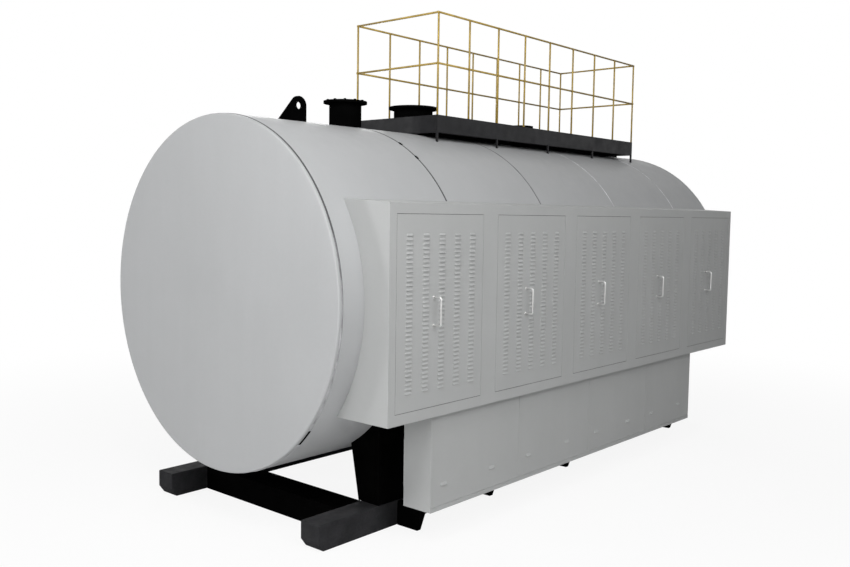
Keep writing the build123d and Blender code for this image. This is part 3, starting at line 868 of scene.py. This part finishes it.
clips, clip_degrees = [], (61.6, 52.6)
clip_low, clip_high = (-0.011, -0.021, -0.002), (0.011, 0.021, 0.007)
for degrees in clip_degrees:
    angle = math.radians(degrees)
    outwards = np.array([math.cos(angle), 0.0, math.sin(angle)])
    around = np.array([-math.sin(angle), 0.0, math.cos(angle)])
    points, groups = block(clip_low, clip_high)
    placed = points[:, :1] * np.array([0.0, 1.0, 0.0]) + points[:, 1:2] * around + points[:, 2:] * outwards
    center = np.array([0.0, seams[0] - seam_width / 2, axis_height]) + drum_radius * outwards
    clips.append((placed + center, groups))
closed_piece("seam_toggle_clips", clips, black_paint, smooth=False)

# %% [markdown]
# ## Chequer plate
#
# People walk on the deck, so its plate has raised bars that point left and right by turns. One bar is a
# flat-topped lozenge. Its places form a grid, and the places over the nozzles' holes are left out. A bump in
# the paint could suggest the bars, but only real ones show in the model's mesh and along the deck's edge.

# %% Deck bars
bar_length, bar_width, bar_height, bar_pitch = 0.030, 0.007, 0.0015, 0.040
deck_margin, hole_margin = 0.07, 0.01


def lozenge(turned):
    """A raised bar: six corners at the bottom, six drawn in at the top, turned by 45 or -45 degrees."""
    outline = np.array([(-1, 0), (-0.6, -1), (0.6, -1), (1, 0), (0.6, 1), (-0.6, 1)], dtype=float)
    flat = outline * (bar_length / 2, bar_width / 2)
    angle = math.radians(45 if turned else -45)
    turn = np.array([[math.cos(angle), -math.sin(angle)], [math.sin(angle), math.cos(angle)]])
    bottom = np.column_stack([flat @ turn.T, np.full(6, -0.0003)])
    top = np.column_stack([flat @ turn.T * 0.72, np.full(6, bar_height)])
    caps = np.array([np.arange(6)[::-1], 6 + np.arange(6)])
    return np.concatenate([bottom, top]), [grid_faces(2, 6, close_columns=True), caps]


deck_low, deck_high = box_of("platform_deck")
bars_from, bars_to = deck_low + deck_margin, deck_high - deck_margin + 0.001
bar_x, bar_y = (np.arange(bars_from[axis], bars_to[axis], bar_pitch) for axis in (0, 1))
xx, yy = np.meshgrid(bar_x, bar_y, indexing="ij")
odd = ((np.arange(len(bar_x))[:, None] + np.arange(len(bar_y))) % 2).astype(bool)
clear = np.ones_like(odd)
for node in ("nozzle_middle", "nozzle_rear"):
    low, high = box_of(node)
    hole_radius = (high[0] - low[0]) / 2 + hole_margin
    clear &= np.hypot(xx, yy - (low[1] + high[1]) / 2) > hole_radius
shapes = []
for turned in (False, True):
    chosen = clear & (odd == turned)
    places = np.stack([xx[chosen], yy[chosen], np.full(chosen.sum(), deck_top)], axis=-1)
    shapes.append(copies(*lozenge(turned), places))
closed_piece("deck_bars", shapes, platform_paint, smooth=False)

# %% [markdown]
# ## Weld beads at the nozzles
#
# A pipe that stands on a drum meets it along a saddle-shaped curve: at the angle a round the pipe, the
# height is axis height + sqrt(R^2 - (r cos a)^2). A thin tube along that curve is the weld.

# %% Nozzle welds
def nozzle_weld(node, pipe_radius, bead=0.005, around=64, sides=8):
    """A bead along the curve in which an upright pipe meets the drum."""
    low, high = box_of(node)
    a = np.linspace(0, 2 * np.pi, around, endpoint=False)[:, None]
    b = np.linspace(0, 2 * np.pi, sides, endpoint=False)[None, :]
    radius = pipe_radius + bead * np.cos(b)
    height = axis_height + np.sqrt(drum_radius ** 2 - (pipe_radius * np.cos(a)) ** 2) + bead * np.sin(b)
    points = np.stack([radius * np.cos(a), (low[1] + high[1]) / 2 + radius * np.sin(a), height], axis=-1)
    return points.reshape(-1, 3), [grid_faces(around, sides, close_rows=True, close_columns=True)]


pipe_radii = {"nozzle_front": 0.1625, "nozzle_middle": 0.213, "nozzle_rear": 0.1095}
beads = [nozzle_weld(node, radius) for node, radius in pipe_radii.items()]
closed_piece("nozzle_welds", beads, black_paint)

# %% [markdown]
# ## Floor
#
# The picture is a cut-out on white. A floor lit to pure white would need so much light that the pale sheets
# lost their shape. So for the camera it is mostly its own white, with only a share of real shading, which
# keeps the boiler's soft shadow, and further out it fades into the white world.

# %% Floor
floor_share = 0.90
fade_start, fade_end = 3.0, 11.0


def stage_floor(size=60.0):
    """A square floor a millimetre below the boiler, plain white to the camera but for its soft shadow."""
    points = np.array([(-1, -1, 0), (1, -1, 0), (1, 1, 0), (-1, 1, 0)], dtype=float) * size - [0, 0, 0.001]
    mesh = mesh_from("studio_floor", points, np.array([[0, 1, 2, 3]]), smooth=False)
    item = bpy.data.objects.new("studio_floor", mesh)
    bpy.context.scene.collection.objects.link(item)
    material = bpy.data.materials.new("studio_white")
    material.use_nodes = True
    tree = material.node_tree
    tree.nodes.clear()
    output = tree.nodes.new("ShaderNodeOutputMaterial")
    blend = tree.nodes.new("ShaderNodeMixShader")
    plain = tree.nodes.new("ShaderNodeBsdfDiffuse")
    plain.inputs["Color"].default_value = (0.86, 0.86, 0.86, 1)
    glow = tree.nodes.new("ShaderNodeEmission")
    glow.inputs["Color"].default_value = (1, 1, 1, 1)
    path = tree.nodes.new("ShaderNodeLightPath")
    spot = tree.nodes.new("ShaderNodeTexCoord")
    away = tree.nodes.new("ShaderNodeVectorMath")
    away.operation = "LENGTH"
    tree.links.new(spot.outputs["Object"], away.inputs[0])
    fade = tree.nodes.new("ShaderNodeMapRange")
    fade.interpolation_type = "SMOOTHSTEP"
    fade.inputs["From Min"].default_value = fade_start
    fade.inputs["From Max"].default_value = fade_end
    fade.inputs["To Min"].default_value = floor_share
    fade.inputs["To Max"].default_value = 1.0
    tree.links.new(away.outputs["Value"], fade.inputs["Value"])
    share = combined(tree, "MULTIPLY", path.outputs["Is Camera Ray"], fade.outputs["Result"])
    tree.links.new(share, blend.inputs["Fac"])
    tree.links.new(plain.outputs["BSDF"], blend.inputs[1])
    tree.links.new(glow.outputs["Emission"], blend.inputs[2])
    tree.links.new(blend.outputs["Shader"], output.inputs["Surface"])
    mesh.materials.append(material)


stage_floor()
print("floor ready")

# %% [markdown]
# ## Background
#
# The world is white to the camera and to reflections. To everything else it is a plain weak grey light, so
# that the background can be white without washing out the shade under the drum.

# %% Background
world_level = 0.15
world = bpy.data.worlds.new("studio_world")
bpy.context.scene.world = world
world.use_nodes = True
tree = world.node_tree
background = tree.nodes["Background"]
path = tree.nodes.new("ShaderNodeLightPath")
seen = combined(tree, "MAXIMUM", path.outputs["Is Camera Ray"], path.outputs["Is Transmission Ray"])
shown = combined(tree, "MAXIMUM", seen, path.outputs["Is Glossy Ray"])
level = tree.nodes.new("ShaderNodeMapRange")
level.inputs["To Min"].default_value = world_level
level.inputs["To Max"].default_value = 1.0
tree.links.new(shown, level.inputs["Value"])
background.inputs["Color"].default_value = (1, 1, 1, 1)
tree.links.new(level.outputs["Result"], background.inputs["Strength"])
print("background ready, world level", world_level)

# %% [markdown]
# ## Lamps
#
# Large square lamps give soft light with soft shadows, as a studio does. One strong lamp could light the
# boiler too, but the disc, the cabinet and the drum's back each need their own brightness.

# %% Lamps
def soft_lamp(name, place, target, size, power):
    """A square area lamp that faces a target."""
    data = bpy.data.lights.new(name, "AREA")
    data.shape = "SQUARE"
    data.size = size
    data.energy = power
    lamp = bpy.data.objects.new(name, data)
    bpy.context.scene.collection.objects.link(lamp)
    forward = np.array(target, dtype=float) - np.array(place, dtype=float)
    forward /= np.linalg.norm(forward)
    right = np.cross(forward, (0, 0, 1))
    right /= np.linalg.norm(right)
    up = np.cross(right, forward)
    rows = [[right[k], up[k], -forward[k]] for k in range(3)]
    lamp.matrix_world = Matrix.Translation(place) @ Matrix(rows).to_4x4()


# Name, place, target, side length and power in watts.
lamps = (
    ("key_front_left", (-7.8, -13.2, 4.6), (0.5, -3.4, 2.1), 2.0, 360),
    ("front", (1.0, -16.0, 5.0), (0.0, -3.0, 2.0), 8.0, 300),
    ("near_right", (6.5, -8.0, 5.5), (1.5, -3.0, 2.2), 3.0, 60),
    ("close_front_right", (3.6, -7.2, 2.4), (0.8, -3.6, 2.1), 1.6, 20),
    ("upper_right", (9.0, -4.0, 7.5), (1.5, -1.5, 2.2), 5.0, 345),
    ("high_front", (4.0, -7.0, 8.0), (1.0, -3.0, 2.6), 3.0, 298),
    ("back_left_fill", (-13.0, 9.0, 5.0), (0.0, 1.0, 2.0), 7.0, 900),
)
for lamp in lamps:
    soft_lamp(*lamp)
bpy.context.scene.view_settings.view_transform = "Standard"
print(len(lamps), "lamps ready")
